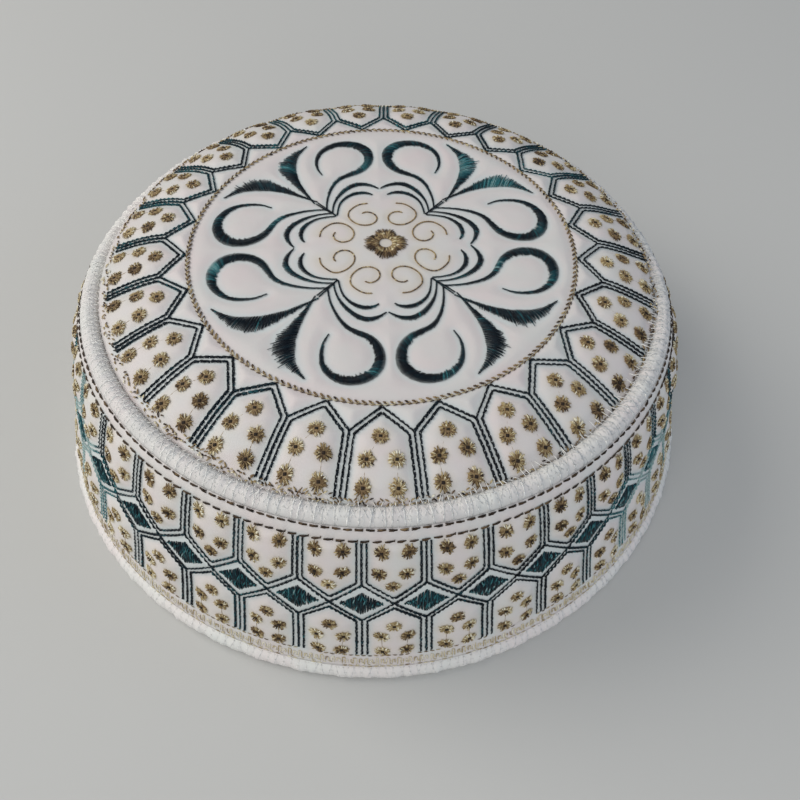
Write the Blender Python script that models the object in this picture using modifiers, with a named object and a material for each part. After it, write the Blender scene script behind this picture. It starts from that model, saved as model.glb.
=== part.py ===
"""Quilted kufi cap: a round flat crown, a padded rim roll, a flared side band and a bound hem.

Units are metres, +Z is up, and the origin is the centre of the hem's underside, on the surface
that the cap rests on.
"""

import math

import bpy

# Heights above the surface that the hem rests on
TOP_PLANE = 0.0620
CROWN_RISE = 0.0013
ROLL_SEAT = 0.0543
BAND_TOP = 0.0540
LINE_LEVEL = 0.0505
UPPER_POINT = 0.0380
CROSSING = 0.0310
LOWER_POINT = 0.0236
BAND_FOOT = 0.0052
HEM_HEIGHT = 0.0049

# Radii of the outer surface
JUNCTION_RADIUS = 0.0204
ARCH_TIP_RADIUS = 0.0530
ARCH_FOOT_RADIUS = 0.0739
PANEL_EDGE_RADIUS = 0.0767
CROWN_EDGE_RADIUS = 0.0749
ROLL_INNER_RADIUS = 0.0752
ROLL_OUTER_RADIUS = 0.0801
BAND_TOP_RADIUS = 0.0803
CROSSING_RADIUS = 0.0880
BAND_FOOT_RADIUS = 0.0948
HEM_INNER_RADIUS = 0.0915
HEM_OUTER_RADIUS = 0.0962

# Cloth, puffs, and the droop of the soft edge, which starts and is full at these sines
# of the angle from +X
WALL = 0.0030
ROLL_RISE = 0.0026
ARCH_PUFF = 0.0008
BAND_PUFF = 0.0010
DIAMOND_PUFF = 0.0006
BACK_DROOP = 0.0050
DROOP_START = -0.5
DROOP_FULL = 0.45
CROWN_SAG = 0.2
HEM_EDGE = 0.0009

# Repeats of the quilting, and where the first one stands, in degrees from +X
ARCHES = 25
FIRST_ARCH_TIP = -87.9
REPEATS = 36
FIRST_TRIPLE_LINE = -90.0

PANEL_STEPS = 4 * ARCHES
BAND_STEPS = 4 * REPEATS
EDGE_STEPS = 72
MERGE_DISTANCE = 0.00001

WHITE_CLOTH = (0.80, 0.79, 0.76, 1.0)
ROLL_CLOTH = (0.84, 0.83, 0.80, 1.0)
BAND_CLOTH = (0.78, 0.77, 0.75, 1.0)
HEM_CLOTH = (0.74, 0.72, 0.67, 1.0)


def clear_scene():
    """Remove every object that is already in the file."""
    for thing in list(bpy.data.objects):
        bpy.data.objects.remove(thing, do_unlink=True)


def cap_collection():
    """Make the collection that holds the cap's pieces."""
    collection = bpy.data.collections.new("kufi_cap")
    bpy.context.scene.collection.children.link(collection)
    return collection


def cloth_material(name, colour, roughness):
    """Matt cloth of one colour."""
    material = bpy.data.materials.new(name)
    material.use_nodes = True
    shader = material.node_tree.nodes["Principled BSDF"]
    shader.inputs["Base Color"].default_value = colour
    shader.inputs["Roughness"].default_value = roughness
    shader.inputs["Metallic"].default_value = 0.0
    return material


def smooth_step(low, high, value):
    """0 below low, 1 above high, with a soft slope between them."""
    t = min(max((value - low) / (high - low), 0.0), 1.0)
    return t * t * (3.0 - 2.0 * t)


def ripple(angle, first_degrees, count):
    """0 on the stitched lines that stand every 1/count turn from first_degrees, 1 half-way."""
    return 0.5 - 0.5 * math.cos(count * (angle - math.radians(first_degrees)))


def droop(angle, sag):
    """How far the soft edge sinks: nothing at the front, BACK_DROOP times sag at the back."""
    return BACK_DROOP * sag * smooth_step(DROOP_START, DROOP_FULL, math.sin(angle))


def crown_sag(radius):
    """The crown's share of the droop: it grows towards the edge and stays small."""
    return CROWN_SAG * smooth_step(ARCH_TIP_RADIUS + 0.008, CROWN_EDGE_RADIUS - 0.0017, radius)


def band_sag(height):
    """The band's share of the droop: it grows from the crossings up."""
    return smooth_step(CROSSING, BAND_TOP, height)


def turned_ring(name, section, steps, closed, puff, collection, material):
    """Turn a section round the Z axis and puff its outer skin.

    section is a list of rows (radius, height, share, sag): the share of puff(angle) that the row
    takes along its radius and its height, and its share of the droop. It runs down the outer
    side and back inside.
    """
    profile = bpy.data.meshes.new(name + "_profile")
    points = [(radius, 0.0, height) for radius, height, _, _ in section]
    last = len(points) - 1
    edges = [(i, i + 1) for i in range(last)]
    if closed:
        edges.append((last, 0))
    profile.from_pydata(points, edges, [])
    turning = bpy.data.objects.new(name + "_turning", profile)
    collection.objects.link(turning)
    share = turning.vertex_groups.new(name="share")
    hang = turning.vertex_groups.new(name="hang")
    for index, (_, _, amount, sag) in enumerate(section):
        share.add([index], amount, "REPLACE")
        hang.add([index], sag, "REPLACE")

    screw = turning.modifiers.new("turn", "SCREW")
    screw.axis = "Z"
    screw.angle = math.tau
    screw.steps = steps
    screw.render_steps = steps
    screw.use_merge_vertices = True
    screw.merge_threshold = MERGE_DISTANCE
    bpy.context.view_layer.update()
    evaluated = turning.evaluated_get(bpy.context.evaluated_depsgraph_get())
    mesh = bpy.data.meshes.new_from_object(evaluated)
    mesh.name = name
    share_index, hang_index = share.index, hang.index

    for vertex in mesh.vertices:
        x, y, z = vertex.co
        radius = math.hypot(x, y)
        angle = math.atan2(y, x)
        amount = vertex.groups[share_index].weight
        sag = vertex.groups[hang_index].weight
        out, up = puff(angle, radius, z)
        new_radius = radius + amount * out
        stretch = new_radius / radius if radius > MERGE_DISTANCE else 1.0
        vertex.co = (x * stretch, y * stretch, z + amount * up - droop(angle, sag))

    bpy.data.objects.remove(turning, do_unlink=True)
    mesh.materials.clear()
    mesh.materials.append(material)
    mesh.shade_smooth()
    mesh.set_sharp_from_angle(angle=math.radians(50.0))
    piece = bpy.data.objects.new(name, mesh)
    collection.objects.link(piece)
    return piece


def crown_top(collection):
    """Flat round panel, lightly domed, whose edge droops and tucks under the rim roll."""
    foot_height = TOP_PLANE - 0.0059
    edge_height = TOP_PLANE - 0.0066
    seam_height = ROLL_SEAT - 0.0003
    top = [
        (0.0, TOP_PLANE + CROWN_RISE, 0.0),
        (JUNCTION_RADIUS, TOP_PLANE + 0.3 * CROWN_RISE, 0.0),
        (0.5 * (JUNCTION_RADIUS + ARCH_TIP_RADIUS), TOP_PLANE + 0.2 * CROWN_RISE, 0.0),
        (ARCH_TIP_RADIUS, TOP_PLANE - 0.0005, 0.0),
        (0.0600, TOP_PLANE - 0.0012, 1.0),
        (0.0660, TOP_PLANE - 0.0028, 1.0),
        (0.0710, TOP_PLANE - 0.0046, 0.8),
        (ARCH_FOOT_RADIUS - 0.0004, foot_height, 0.1),
        (CROWN_EDGE_RADIUS, edge_height, 0.0),
    ]
    seam = [
        (CROWN_EDGE_RADIUS, seam_height + 0.0003, 0.0, 1.0),
        (CROWN_EDGE_RADIUS + 0.0004, seam_height, 0.0, 1.0),
        (PANEL_EDGE_RADIUS, seam_height, 0.0, 1.0),
        (PANEL_EDGE_RADIUS, seam_height - WALL, 0.0, 1.0),
        (ROLL_INNER_RADIUS - 0.0014, seam_height - WALL, 0.0, 1.0),
    ]
    underside = [
        (0.0710, TOP_PLANE - 0.0050 - WALL, 0.0),
        (0.0600, TOP_PLANE - 0.0016 - WALL, 0.0),
        (JUNCTION_RADIUS, TOP_PLANE + 0.3 * CROWN_RISE - WALL, 0.0),
        (0.0, TOP_PLANE + CROWN_RISE - WALL, 0.0),
    ]
    section = [(*row, crown_sag(row[0])) for row in top] + seam
    section += [(*row, crown_sag(row[0])) for row in underside]

    def arch_puff(angle, radius, height):
        swell = ARCH_PUFF * ripple(angle, FIRST_ARCH_TIP + 180.0 / ARCHES, ARCHES)
        return 0.3 * swell, swell

    cloth = cloth_material("white_cloth", WHITE_CLOTH, 0.55)
    return turned_ring("crown_top", section, PANEL_STEPS, False, arch_puff, collection, cloth)


def rim_roll(collection):
    """Padded roll over the seam between the crown and the side band, flat where it is sewn on."""
    middle = 0.5 * (ROLL_INNER_RADIUS + ROLL_OUTER_RADIUS)
    half_width = 0.5 * (ROLL_OUTER_RADIUS - ROLL_INNER_RADIUS)
    arc_points = 7
    section = []
    for index in range(arc_points):
        turn = math.pi * index / (arc_points - 1)
        radius = middle - half_width * math.cos(turn)
        section.append((radius, ROLL_SEAT + ROLL_RISE * math.sin(turn), 0.0, 1.0))

    def no_puff(angle, radius, height):
        return 0.0, 0.0

    cloth = cloth_material("roll_cloth", ROLL_CLOTH, 0.60)
    return turned_ring("rim_roll", section, EDGE_STEPS, True, no_puff, collection, cloth)


def side_band(collection):
    """Flared wall with two rows of pointed quilted cells and a row of diamonds between them."""
    upper_middle = 0.5 * (LINE_LEVEL + UPPER_POINT)
    lower_middle = 0.5 * (LOWER_POINT + BAND_FOOT)
    outline = [
        (BAND_TOP_RADIUS, BAND_TOP, 0.0),
        (0.0818, LINE_LEVEL, 0.0),
        (0.0840, upper_middle, 1.0),
        (0.0861, UPPER_POINT, 0.8),
        (CROSSING_RADIUS, CROSSING, 1.0),
        (0.0897, LOWER_POINT, 0.8),
        (0.0922, lower_middle, 1.0),
        (BAND_FOOT_RADIUS, BAND_FOOT, 0.0),
        (BAND_FOOT_RADIUS - WALL, BAND_FOOT, 0.0),
        (0.0897 - WALL, LOWER_POINT, 0.0),
        (0.0861 - WALL, UPPER_POINT, 0.0),
        (BAND_TOP_RADIUS - WALL, BAND_TOP, 0.0),
    ]
    section = [(*row, band_sag(row[1])) for row in outline]

    def cell_puff(angle, radius, height):
        between_lines = ripple(angle, FIRST_TRIPLE_LINE, REPEATS)
        if abs(height - CROSSING) < 0.001:
            return DIAMOND_PUFF * (1.0 - between_lines), 0.0
        return BAND_PUFF * between_lines, 0.0

    cloth = cloth_material("band_cloth", BAND_CLOTH, 0.55)
    return turned_ring("side_band", section, BAND_STEPS, True, cell_puff, collection, cloth)


def hem_binding(collection):
    """Rounded bound edge under the side band, flat underneath where the cap stands."""
    outline = [
        (BAND_FOOT_RADIUS + 0.0004, HEM_HEIGHT, 0.0),
        (HEM_OUTER_RADIUS - 0.0005, HEM_HEIGHT - 0.0012, 0.0),
        (HEM_OUTER_RADIUS, 0.5 * HEM_HEIGHT, 0.0),
        (HEM_OUTER_RADIUS - 0.0002, HEM_EDGE, 0.0),
        (HEM_OUTER_RADIUS - HEM_EDGE, 0.0, 0.0),
        (HEM_INNER_RADIUS + HEM_EDGE, 0.0, 0.0),
        (HEM_INNER_RADIUS, HEM_EDGE, 0.0),
        (BAND_FOOT_RADIUS - WALL - 0.0003, HEM_HEIGHT - HEM_EDGE, 0.0),
        (BAND_FOOT_RADIUS - WALL + 0.0004, HEM_HEIGHT, 0.0),
    ]
    section = [(*row, 0.0) for row in outline]

    def no_puff(angle, radius, height):
        return 0.0, 0.0

    cloth = cloth_material("hem_cloth", HEM_CLOTH, 0.65)
    return turned_ring("hem_binding", section, EDGE_STEPS, True, no_puff, collection, cloth)


clear_scene()
cap = cap_collection()
crown_top(cap)
rim_roll(cap)
side_band(cap)
hem_binding(cap)
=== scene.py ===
"""Looks of a quilted and embroidered kufi cap: its cloths, its threads, the floor, light and camera."""

import math

import bpy
import numpy as np
from mathutils import Matrix, Vector


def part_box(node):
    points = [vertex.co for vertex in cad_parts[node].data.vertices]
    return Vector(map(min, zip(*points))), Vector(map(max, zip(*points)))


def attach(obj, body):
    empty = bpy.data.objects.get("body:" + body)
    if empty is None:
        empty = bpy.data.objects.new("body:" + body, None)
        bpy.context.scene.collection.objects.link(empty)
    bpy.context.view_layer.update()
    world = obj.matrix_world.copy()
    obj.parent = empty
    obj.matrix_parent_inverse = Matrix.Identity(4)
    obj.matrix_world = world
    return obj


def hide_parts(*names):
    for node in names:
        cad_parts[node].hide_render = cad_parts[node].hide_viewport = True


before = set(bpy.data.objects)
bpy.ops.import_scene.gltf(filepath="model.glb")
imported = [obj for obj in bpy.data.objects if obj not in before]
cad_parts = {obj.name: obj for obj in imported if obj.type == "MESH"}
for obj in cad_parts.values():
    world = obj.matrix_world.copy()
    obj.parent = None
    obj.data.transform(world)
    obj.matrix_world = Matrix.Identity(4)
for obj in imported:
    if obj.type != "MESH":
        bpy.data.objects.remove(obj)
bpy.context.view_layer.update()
chance = np.random.default_rng(25)

# Sizes below are in millimetres and angles in degrees, unless a name says otherwise
MM = 0.001


def corner_mm(node, which):
    """The lowest (0) or highest (1) corner of a solid, in millimetres."""
    return np.array(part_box(node)[which]) / MM


ROLL_OUT = corner_mm("rim_roll", 1)[0]
ROLL_TOP = corner_mm("rim_roll", 1)[2]
HEM_OUT = corner_mm("hem_binding", 1)[0]
HEM_TOP = corner_mm("hem_binding", 1)[2]

# The cap's outer form
TOP_PLANE = 62.0
WALL = 3.0
BACK_DROOP = 5.0
CROWN_SAG = 0.2
CROWN_EDGE = 75.45
PANEL_EDGE = 76.7
ROLL_IN = 75.2
ROLL_SEAT = 54.3
ROLL_MIDDLE = 0.5 * (ROLL_IN + ROLL_OUT)
ROLL_HALF = 0.5 * (ROLL_OUT - ROLL_IN)
ROLL_RISE = ROLL_TOP - ROLL_SEAT
BAND_TOP = 54.1
BAND_FOOT = 5.2
HEM_WALL = 94.5
HEM_FOOT = 0.02
HEM_HEIGHT = HEM_TOP + 0.3
SMOOTH_SIDES = 900

CROWN_SLOPE = [
    # radius, height over the top plane
    (0.0, 1.3), (20.0, 0.6), (40.0, 0.3), (52.0, 0.0), (60.0, -1.1),
    (66.0, -2.7), (71.0, -4.6), (73.9, -5.9), (75.4, -6.7),
]
BAND_SLOPE = [
    # height, radius
    (5.2, 94.7), (10.7, 93.0), (23.6, 89.6), (31.0, 88.0), (38.0, 86.1), (50.5, 81.8), (54.1, 80.2),
]
SOFT_SIDE = [
    # angle round the cap, how far the soft side stands out from a true circle
    (-180.0, -1.1), (-168.0, -0.3), (-150.0, 0.6), (-130.0, 0.4), (-105.0, 0.0), (-90.0, 0.0),
    (-75.0, -0.3), (-60.0, -0.8), (-40.0, -1.0), (-20.0, -1.2), (0.0, -1.2), (35.0, 0.0), (60.0, 0.0),
    (120.0, 0.0), (145.0, 0.0), (165.0, -0.8), (180.0, -1.1),
]
CELL_DRIFT = [
    # angle round the cap, how far round the cells were sewn from their even places
    (-180.0, -0.6), (-165.0, -2.0), (-142.0, -2.3), (-131.0, -1.1), (-120.0, 0.2), (-105.0, 0.0),
    (-60.0, 0.0), (-40.0, -0.3), (-20.0, -1.0), (0.0, -1.2), (30.0, 0.0), (60.0, 0.0), (140.0, 0.0),
    (180.0, -0.6),
]

# The quilting: height of the padding, or depth of a dent, and how far from the thread it reaches
ARCH_PUFF = (0.95, 2.0)
ROSETTE_PUFF = (0.50, 2.2)
CELL_PUFF = (0.95, 2.1)
EYELET_DENT = (0.40, 1.7)
SCROLL_DENT = (0.16, 0.8)

# How far from a thread the cloth is still tinted towards the thread's colour, and how wide a gold thread is
DARK_TINT = 0.9
GOLD_TINT = 1.6
GOLD_WIDTH = 1.0

# The crown's pattern
PATTERN_SHIFT = np.array([1.2, -0.5])
FLOWER_SHIFT = np.array([0.8, 0.1])
SCROLL_SHIFT = np.array([0.4, -0.4])
STRETCH = (-13.0, -34.0, 13.0, 2.0)  # x and y of its middle, its reach, how far the cloth is pulled
ROSETTE_TURN = 4.63
ARCHES = 25
ARCH_STEP = 360.0 / ARCHES
FIRST_ARCH_TIP = -87.9
ARCH_TIP = 52.4
ARCH_VALLEY = 59.0
ARCH_FOOT = 73.6
LINE_GAP = 1.25
ROPE_RADIUS = 51.4

# The band's pattern, drawn flat: across from a cell's middle, and height
REPEATS = 36
FLAT_RADIUS = 88.0
CELL = math.tau * FLAT_RADIUS / REPEATS
FIRST_CELL = -85.0
UPPER_LINE = 54.3
LOWER_LINE = 50.9
CROSSING = 31.0
DIAMOND = (5.15, 4.1)
CELL_FOOT = 10.3

INNER_CONTOUR = [
    # along, across, width
    (12.5, 12.1, 0.45), (15.2, 11.8, 0.50), (17.8, 11.1, 0.65), (20.0, 9.6, 0.95),
    (21.5, 7.6, 1.25), (22.0, 5.4, 1.20), (21.7, 3.4, 0.80), (20.9, 2.0, 0.40),
]
OUTER_CONTOUR = [
    # along, across, width
    (13.6, 13.4, 0.45), (16.0, 13.2, 0.50), (19.2, 12.4, 0.75), (22.2, 10.8, 1.20),
    (24.6, 8.6, 1.50), (25.8, 6.2, 1.55), (25.6, 3.6, 1.20), (24.7, 1.6, 0.70), (23.7, 0.2, 0.40),
]
HOOK = [
    # along, across, width
    (14.7, 15.0, 0.45), (18.6, 14.9, 0.55), (22.6, 14.2, 0.75), (26.4, 12.8, 1.05),
    (28.8, 10.9, 1.35), (30.3, 8.4, 1.65), (31.9, 5.7, 2.00), (34.4, 3.7, 2.45),
    (37.6, 2.8, 2.80), (41.0, 3.3, 3.00), (43.6, 5.6, 3.00), (44.8, 8.9, 2.70),
    (44.5, 12.2, 2.30), (42.8, 15.2, 1.80), (40.0, 17.3, 1.30), (36.6, 18.0, 0.95),
    (33.2, 17.7, 0.65), (30.3, 16.4, 0.35),
]
LEAF = [
    # along, across, width
    (17.6, 18.2, 0.35), (20.5, 19.7, 0.60), (23.5, 21.2, 1.10), (26.5, 22.5, 2.00),
    (29.5, 23.4, 3.30), (32.3, 23.9, 4.70), (34.6, 24.0, 4.60), (37.2, 23.9, 3.40),
    (39.6, 23.3, 2.00), (41.8, 22.2, 0.90), (43.8, 20.9, 0.35),
]
STEM = [
    # along, across, width
    (12.3, 12.2, 0.45), (14.6, 14.9, 0.45), (17.6, 18.1, 0.40),
]
SPIRAL = [
    # along, across, width
    (17.2, 4.0, 0.45), (16.9, 6.0, 0.45), (15.5, 8.0, 0.45), (13.5, 9.3, 0.45), (11.4, 9.2, 0.45),
    (9.4, 7.9, 0.45), (8.1, 5.8, 0.45), (8.1, 3.6, 0.45), (9.4, 1.9, 0.45), (11.3, 1.6, 0.45),
    (13.0, 2.7, 0.45), (13.5, 4.6, 0.40), (12.9, 5.7, 0.35),
]
GLEAMS = [
    # x and y from the rosette's middle, reach, strength of the teal light
    (26.0, 34.0, 7.0, 0.52), (35.0, 26.5, 7.0, 0.52), (43.5, 5.5, 2.6, 0.40), (44.0, -14.0, 2.6, 0.35),
    (30.5, -8.0, 2.8, 0.45), (-45.0, -7.0, 3.2, 0.60), (-29.0, 11.0, 2.6, 0.55), (-43.0, 12.0, 3.0, 0.30),
    (-25.0, 34.0, 4.0, 0.30), (-33.0, 26.0, 4.0, 0.20), (-4.0, 34.0, 3.0, 0.40), (3.0, 43.0, 2.8, 0.40),
    (-11.0, 25.0, 2.2, 0.40), (-3.0, -43.0, 3.2, 0.45), (4.0, -31.5, 3.0, 0.45), (15.0, -44.0, 2.6, 0.35),
    (8.0, -23.5, 2.4, 0.30), (-24.5, -7.0, 2.2, 0.30),
]
ARCH_EYELETS = [
    # radius, across
    (60.2, 0.0), (65.3, 3.3), (65.3, -3.3), (71.2, 3.9), (71.2, -3.9),
]
BAND_EYELETS = [
    # across, height
    (3.2, 48.5), (-3.2, 48.5), (3.2, 42.1), (-3.2, 42.1), (0.0, 38.0),
    (0.0, 22.8), (3.0, 18.4), (-3.0, 18.4), (2.9, 12.8), (-2.9, 12.8),
]


# Small helpers


def smooth_step(low, high, value):
    """0 below low, 1 above high, with a soft slope between them."""
    t = np.clip((value - low) / (high - low), 0.0, 1.0)
    return t * t * (3.0 - 2.0 * t)


def fading(gap, reach):
    """1 where there is no gap, fading to nothing well past the reach."""
    return np.exp(-((gap / reach) ** 2))


def aside(angle):
    """How far to the left or right an angle is: 0 at the front and back, 1 at the sides."""
    return np.abs(np.cos(angle))


def pairs(first, second):
    """Rows of two numbers each. Either may be a single number for all rows."""
    return np.stack(np.broadcast_arrays(first, second), 1)


def in_plan(angle, radius=1.0):
    """Places seen from above, at angles in radians and radii."""
    return pairs(radius * np.cos(angle), radius * np.sin(angle))


def in_space(angle, radius, height):
    """Places round the cap, at radii and heights."""
    return np.column_stack([in_plan(angle, radius), height])


def around(places):
    """Radius and angle, in radians, of places."""
    return np.hypot(places[:, 0], places[:, 1]), np.arctan2(places[:, 1], places[:, 0])


def uneven(tone, spread, count, most=1.0):
    """Shades of count threads, scattered round a tone by chance."""
    return np.clip(tone + chance.normal(0.0, spread, count), 0.0, most)


def curve_through(places, values, at):
    """A smooth curve through values at the given places."""
    places, values = np.asarray(places, float), np.asarray(values, float)
    slope = np.gradient(values, places)
    i = np.clip(np.searchsorted(places, at) - 1, 0, len(places) - 2)
    span = places[i + 1] - places[i]
    t = np.clip((at - places[i]) / span, 0.0, 1.0)
    rise = t * t * (3.0 - 2.0 * t)
    ends = values[i] * (1.0 - rise) + values[i + 1] * rise
    return ends + span * t * (1.0 - t) * ((1.0 - t) * slope[i] - t * slope[i + 1])


def turned(points, degrees):
    """Plan points turned about the middle."""
    a = math.radians(degrees)
    x, y = points[..., 0], points[..., 1]
    return np.stack([x * math.cos(a) - y * math.sin(a), x * math.sin(a) + y * math.cos(a)], -1)


def unit(vectors):
    """Vectors of length one."""
    return vectors / np.maximum(np.linalg.norm(vectors, axis=-1, keepdims=True), 1e-12)


def leftward(heading):
    """Directions a quarter turn to the left of others."""
    return pairs(-heading[:, 1], heading[:, 0])


def waves(angle, seed, counts, heights):
    """A sum of rings of waves, the same each run: counts are waves to a turn."""
    phases = np.random.default_rng(seed).uniform(0.0, math.tau, len(counts))
    return sum(h * np.sin(c * angle + p) for c, h, p in zip(counts, heights, phases))


def to_segments(points, segments):
    """Distance from each point to the nearest of the segments (x0, y0, x1, y1, half width)."""
    best = np.full(len(points), 1e9)
    for x0, y0, x1, y1, half in segments:
        start, run = np.array([x0, y0]), np.array([x1 - x0, y1 - y0])
        t = np.clip((points - start) @ run / max(run @ run, 1e-9), 0.0, 1.0)
        gap = np.linalg.norm(points - start - t[:, None] * run, axis=1) - half
        best = np.minimum(best, gap)
    return np.maximum(best, 0.0)


def to_spots(points, spots):
    """Distance from each point to the nearest spot."""
    best = np.full(len(points), 1e9)
    for spot in spots:
        best = np.minimum(best, np.linalg.norm(points - np.array(spot), axis=1))
    return best


def along(rows, step):
    """Places every step along the curve through a chart's rows: their columns and directions."""
    table = np.array(rows, float)
    run = np.concatenate([[0.0], np.cumsum(np.hypot(*np.diff(table[:, :2], axis=0).T))])
    fine = np.linspace(0.0, run[-1], int(run[-1] / 0.05) + 2)
    dense = np.stack([curve_through(run, column, fine) for column in table.T], 1)
    walked = np.concatenate([[0.0], np.cumsum(np.hypot(*np.diff(dense[:, :2], axis=0).T))])
    places = np.arange(0.5 * step, walked[-1], step)
    columns = np.stack([np.interp(places, walked, column) for column in dense.T], 1)
    ahead = np.stack([np.interp(places + 0.05, walked, dense[:, k]) for k in (0, 1)], 1)
    behind = np.stack([np.interp(places - 0.05, walked, dense[:, k]) for k in (0, 1)], 1)
    return columns, unit(ahead - behind)


# The arches' and cells' lines


def arch_lines():
    """Half an arch: its axis is +X, and y is measured from it. Returns named straight lines."""
    half = math.radians(0.5 * ARCH_STEP)
    edge = np.array([math.cos(half), math.sin(half)])
    inward = np.array([edge[1], -edge[0]])
    tip = np.array([ARCH_TIP, 0.0])
    valley = ARCH_VALLEY * edge
    slope = unit(valley - tip)
    inner_tip = np.array([ARCH_TIP + LINE_GAP / slope[1], 0.0])
    side = LINE_GAP * inward
    turn = np.array([[slope[0], -edge[0]], [slope[1], -edge[1]]])
    reach = np.linalg.solve(turn, side - inner_tip)
    corner = inner_tip + reach[0] * slope
    foot = ARCH_FOOT * edge
    return {
        "outer": (tip, valley),
        "inner": (inner_tip, corner),
        "side": (corner, foot + side),
        "middle": (valley, foot),
    }


def cell_lines():
    """Half a cell of the band, seen flat: across from the cell's middle, and height."""
    half = 0.5 * CELL
    upper_gap, lower_gap = 1.2, 1.3
    return {
        "upper_inner": ((0.0, 32.9), (half - upper_gap, 38.4)),
        "upper_side": ((half - upper_gap, 38.4), (half - upper_gap, LOWER_LINE - 0.4)),
        "upper_outer": ((0.0, CROSSING), (half, 37.7)),
        "upper_middle": ((half, 37.7), (half, LOWER_LINE - 0.4)),
        "lower_inner": ((0.0, 29.2), (half - lower_gap, 24.0)),
        "lower_side": ((half - lower_gap, 24.0), (half - lower_gap, CELL_FOOT)),
        "lower_outer": ((0.0, CROSSING), (half, 24.4)),
        "lower_middle": ((half, 24.4), (half, CELL_FOOT)),
    }


ARCH = arch_lines()
CELL_LINES = cell_lines()


def chart_segments(rows, side=0.0):
    """A chart's rows as straight segments with half widths, moved to the side by a share of the width."""
    columns, heading = along(rows, 1.6)
    middle = columns[:, :2] + leftward(heading) * columns[:, 2:3] * side
    half = 0.5 * columns[:, 2]
    return [(*a, *b, 0.5 * (u + v)) for a, b, u, v in zip(middle, middle[1:], half, half[1:])]


ROSETTE_SEGMENTS = (
    chart_segments(INNER_CONTOUR) + chart_segments(OUTER_CONTOUR) + chart_segments(HOOK)
    + chart_segments(LEAF, 0.5) + chart_segments(STEM)
)
SPIRAL_SEGMENTS = chart_segments(SPIRAL)
ARCH_SEGMENTS = [(*ARCH[k][0], *ARCH[k][1], 0.25) for k in ("outer", "inner", "side", "middle")]
CELL_SEGMENTS = [(*a, *b, 0.25) for a, b in CELL_LINES.values()]


def to_rosette(plan):
    """Plan points folded into the rosette's first eighth."""
    near = np.abs(turned(plan, -ROSETTE_TURN))
    return np.sort(near, axis=1)[:, ::-1]


def to_arch(plan):
    """Plan points folded into half an arch."""
    radius, angle = around(plan)
    past_tip = np.degrees(angle) - FIRST_ARCH_TIP
    off = np.radians(np.abs((past_tip + 0.5 * ARCH_STEP) % ARCH_STEP - 0.5 * ARCH_STEP))
    return in_plan(off, radius)


def to_cell(flat):
    """Flat points of the band folded into half a cell."""
    start = math.radians(FIRST_CELL) * FLAT_RADIUS
    across = np.abs((flat[:, 0] - start + 0.5 * CELL) % CELL - 0.5 * CELL)
    return pairs(across, flat[:, 1])


def from_diamond(folded):
    """How far a point of half a cell is from the diamond's middle, where its edge is at 1."""
    across, up = np.abs(folded - np.array([0.5 * CELL, CROSSING])).T
    return across / DIAMOND[0] + up / DIAMOND[1]


# The skins: where a place of a pattern lies in space


def droop(angle, sag):
    """How far the soft edge sinks: nothing at the front, BACK_DROOP times sag at the back."""
    return BACK_DROOP * sag * smooth_step(-0.5, 0.45, np.sin(angle))


def crown_sag(radius):
    """The crown's share of the droop."""
    return CROWN_SAG * smooth_step(61.0, 73.2, radius)


def band_sag(height):
    """The band's share of the droop."""
    return smooth_step(CROSSING, 54.0, height)


def crown_form(radius):
    """The crown's plain height."""
    return TOP_PLANE + curve_through(*zip(*CROWN_SLOPE), radius)


def band_form(height):
    """The band's plain radius."""
    return curve_through(*zip(*BAND_SLOPE), height)


def puffed(gap, height, reach):
    """Padding that rises on both sides of a sewn line."""
    return height * (1.0 - fading(gap, reach))


def dented(gap, depth, reach):
    """How far padding is pressed down round a worked spot or line."""
    return depth * fading(gap, reach)


def crown_relief(plan):
    """How far the quilted crown stands over its plain form."""
    radius, _ = around(plan)
    outside = radius > ROPE_RADIUS
    arch_gap = to_segments(to_arch(plan), ARCH_SEGMENTS)
    eyelet_gap = to_spots(to_arch(plan), ARCH_EYELETS[:2] + ARCH_EYELETS[3:4])
    rosette_gap = to_segments(to_rosette(plan), ROSETTE_SEGMENTS)
    spiral_gap = to_segments(to_rosette(plan), SPIRAL_SEGMENTS)
    rope_gap = np.abs(radius - ROPE_RADIUS)
    gap = np.minimum(np.where(outside, arch_gap, rosette_gap), rope_gap)
    puff = np.where(outside, puffed(gap, *ARCH_PUFF), puffed(gap, *ROSETTE_PUFF))
    return puff - np.where(outside, dented(eyelet_gap, *EYELET_DENT), dented(spiral_gap, *SCROLL_DENT))


def band_relief(flat):
    """How far the quilted band stands over its plain form."""
    folded = to_cell(flat)
    gap = to_segments(folded, CELL_SEGMENTS)
    eyelet_gap = to_spots(folded, [spot for spot in BAND_EYELETS if spot[0] >= 0.0])
    puff = puffed(gap, *CELL_PUFF) * smooth_step(0.75, 1.5, from_diamond(folded))
    puff -= dented(eyelet_gap, *EYELET_DENT)
    inside = smooth_step(CELL_FOOT - 0.4, CELL_FOOT + 1.6, flat[:, 1])
    inside *= 1.0 - smooth_step(LOWER_LINE - 1.8, LOWER_LINE, flat[:, 1])
    strip = smooth_step(LOWER_LINE, LOWER_LINE + 1.2, flat[:, 1])
    strip *= 1.0 - smooth_step(UPPER_LINE - 1.2, UPPER_LINE, flat[:, 1])
    angle = flat[:, 0] / FLAT_RADIUS
    ribs = 0.30 + waves(angle, 3, (97, 151, 223, 310), (0.05, 0.06, 0.05, 0.04))
    return puff * inside + strip * ribs


def crown_height(place, relief):
    """The quilted crown's height at places seen from above."""
    radius, angle = around(place)
    padding = relief * (1.0 - smooth_step(71.5, 74.2, radius))
    return crown_form(radius) + padding - droop(angle, crown_sag(radius))


def stretch(plan):
    """How far the cloth was stretched along x under the rosette, near one place."""
    x, y, reach, pull = STRETCH
    amount = pull * np.exp(-((plan[:, 0] - x) ** 2 + (plan[:, 1] - y) ** 2) / reach ** 2)
    return pairs(amount, 0.0)


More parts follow.
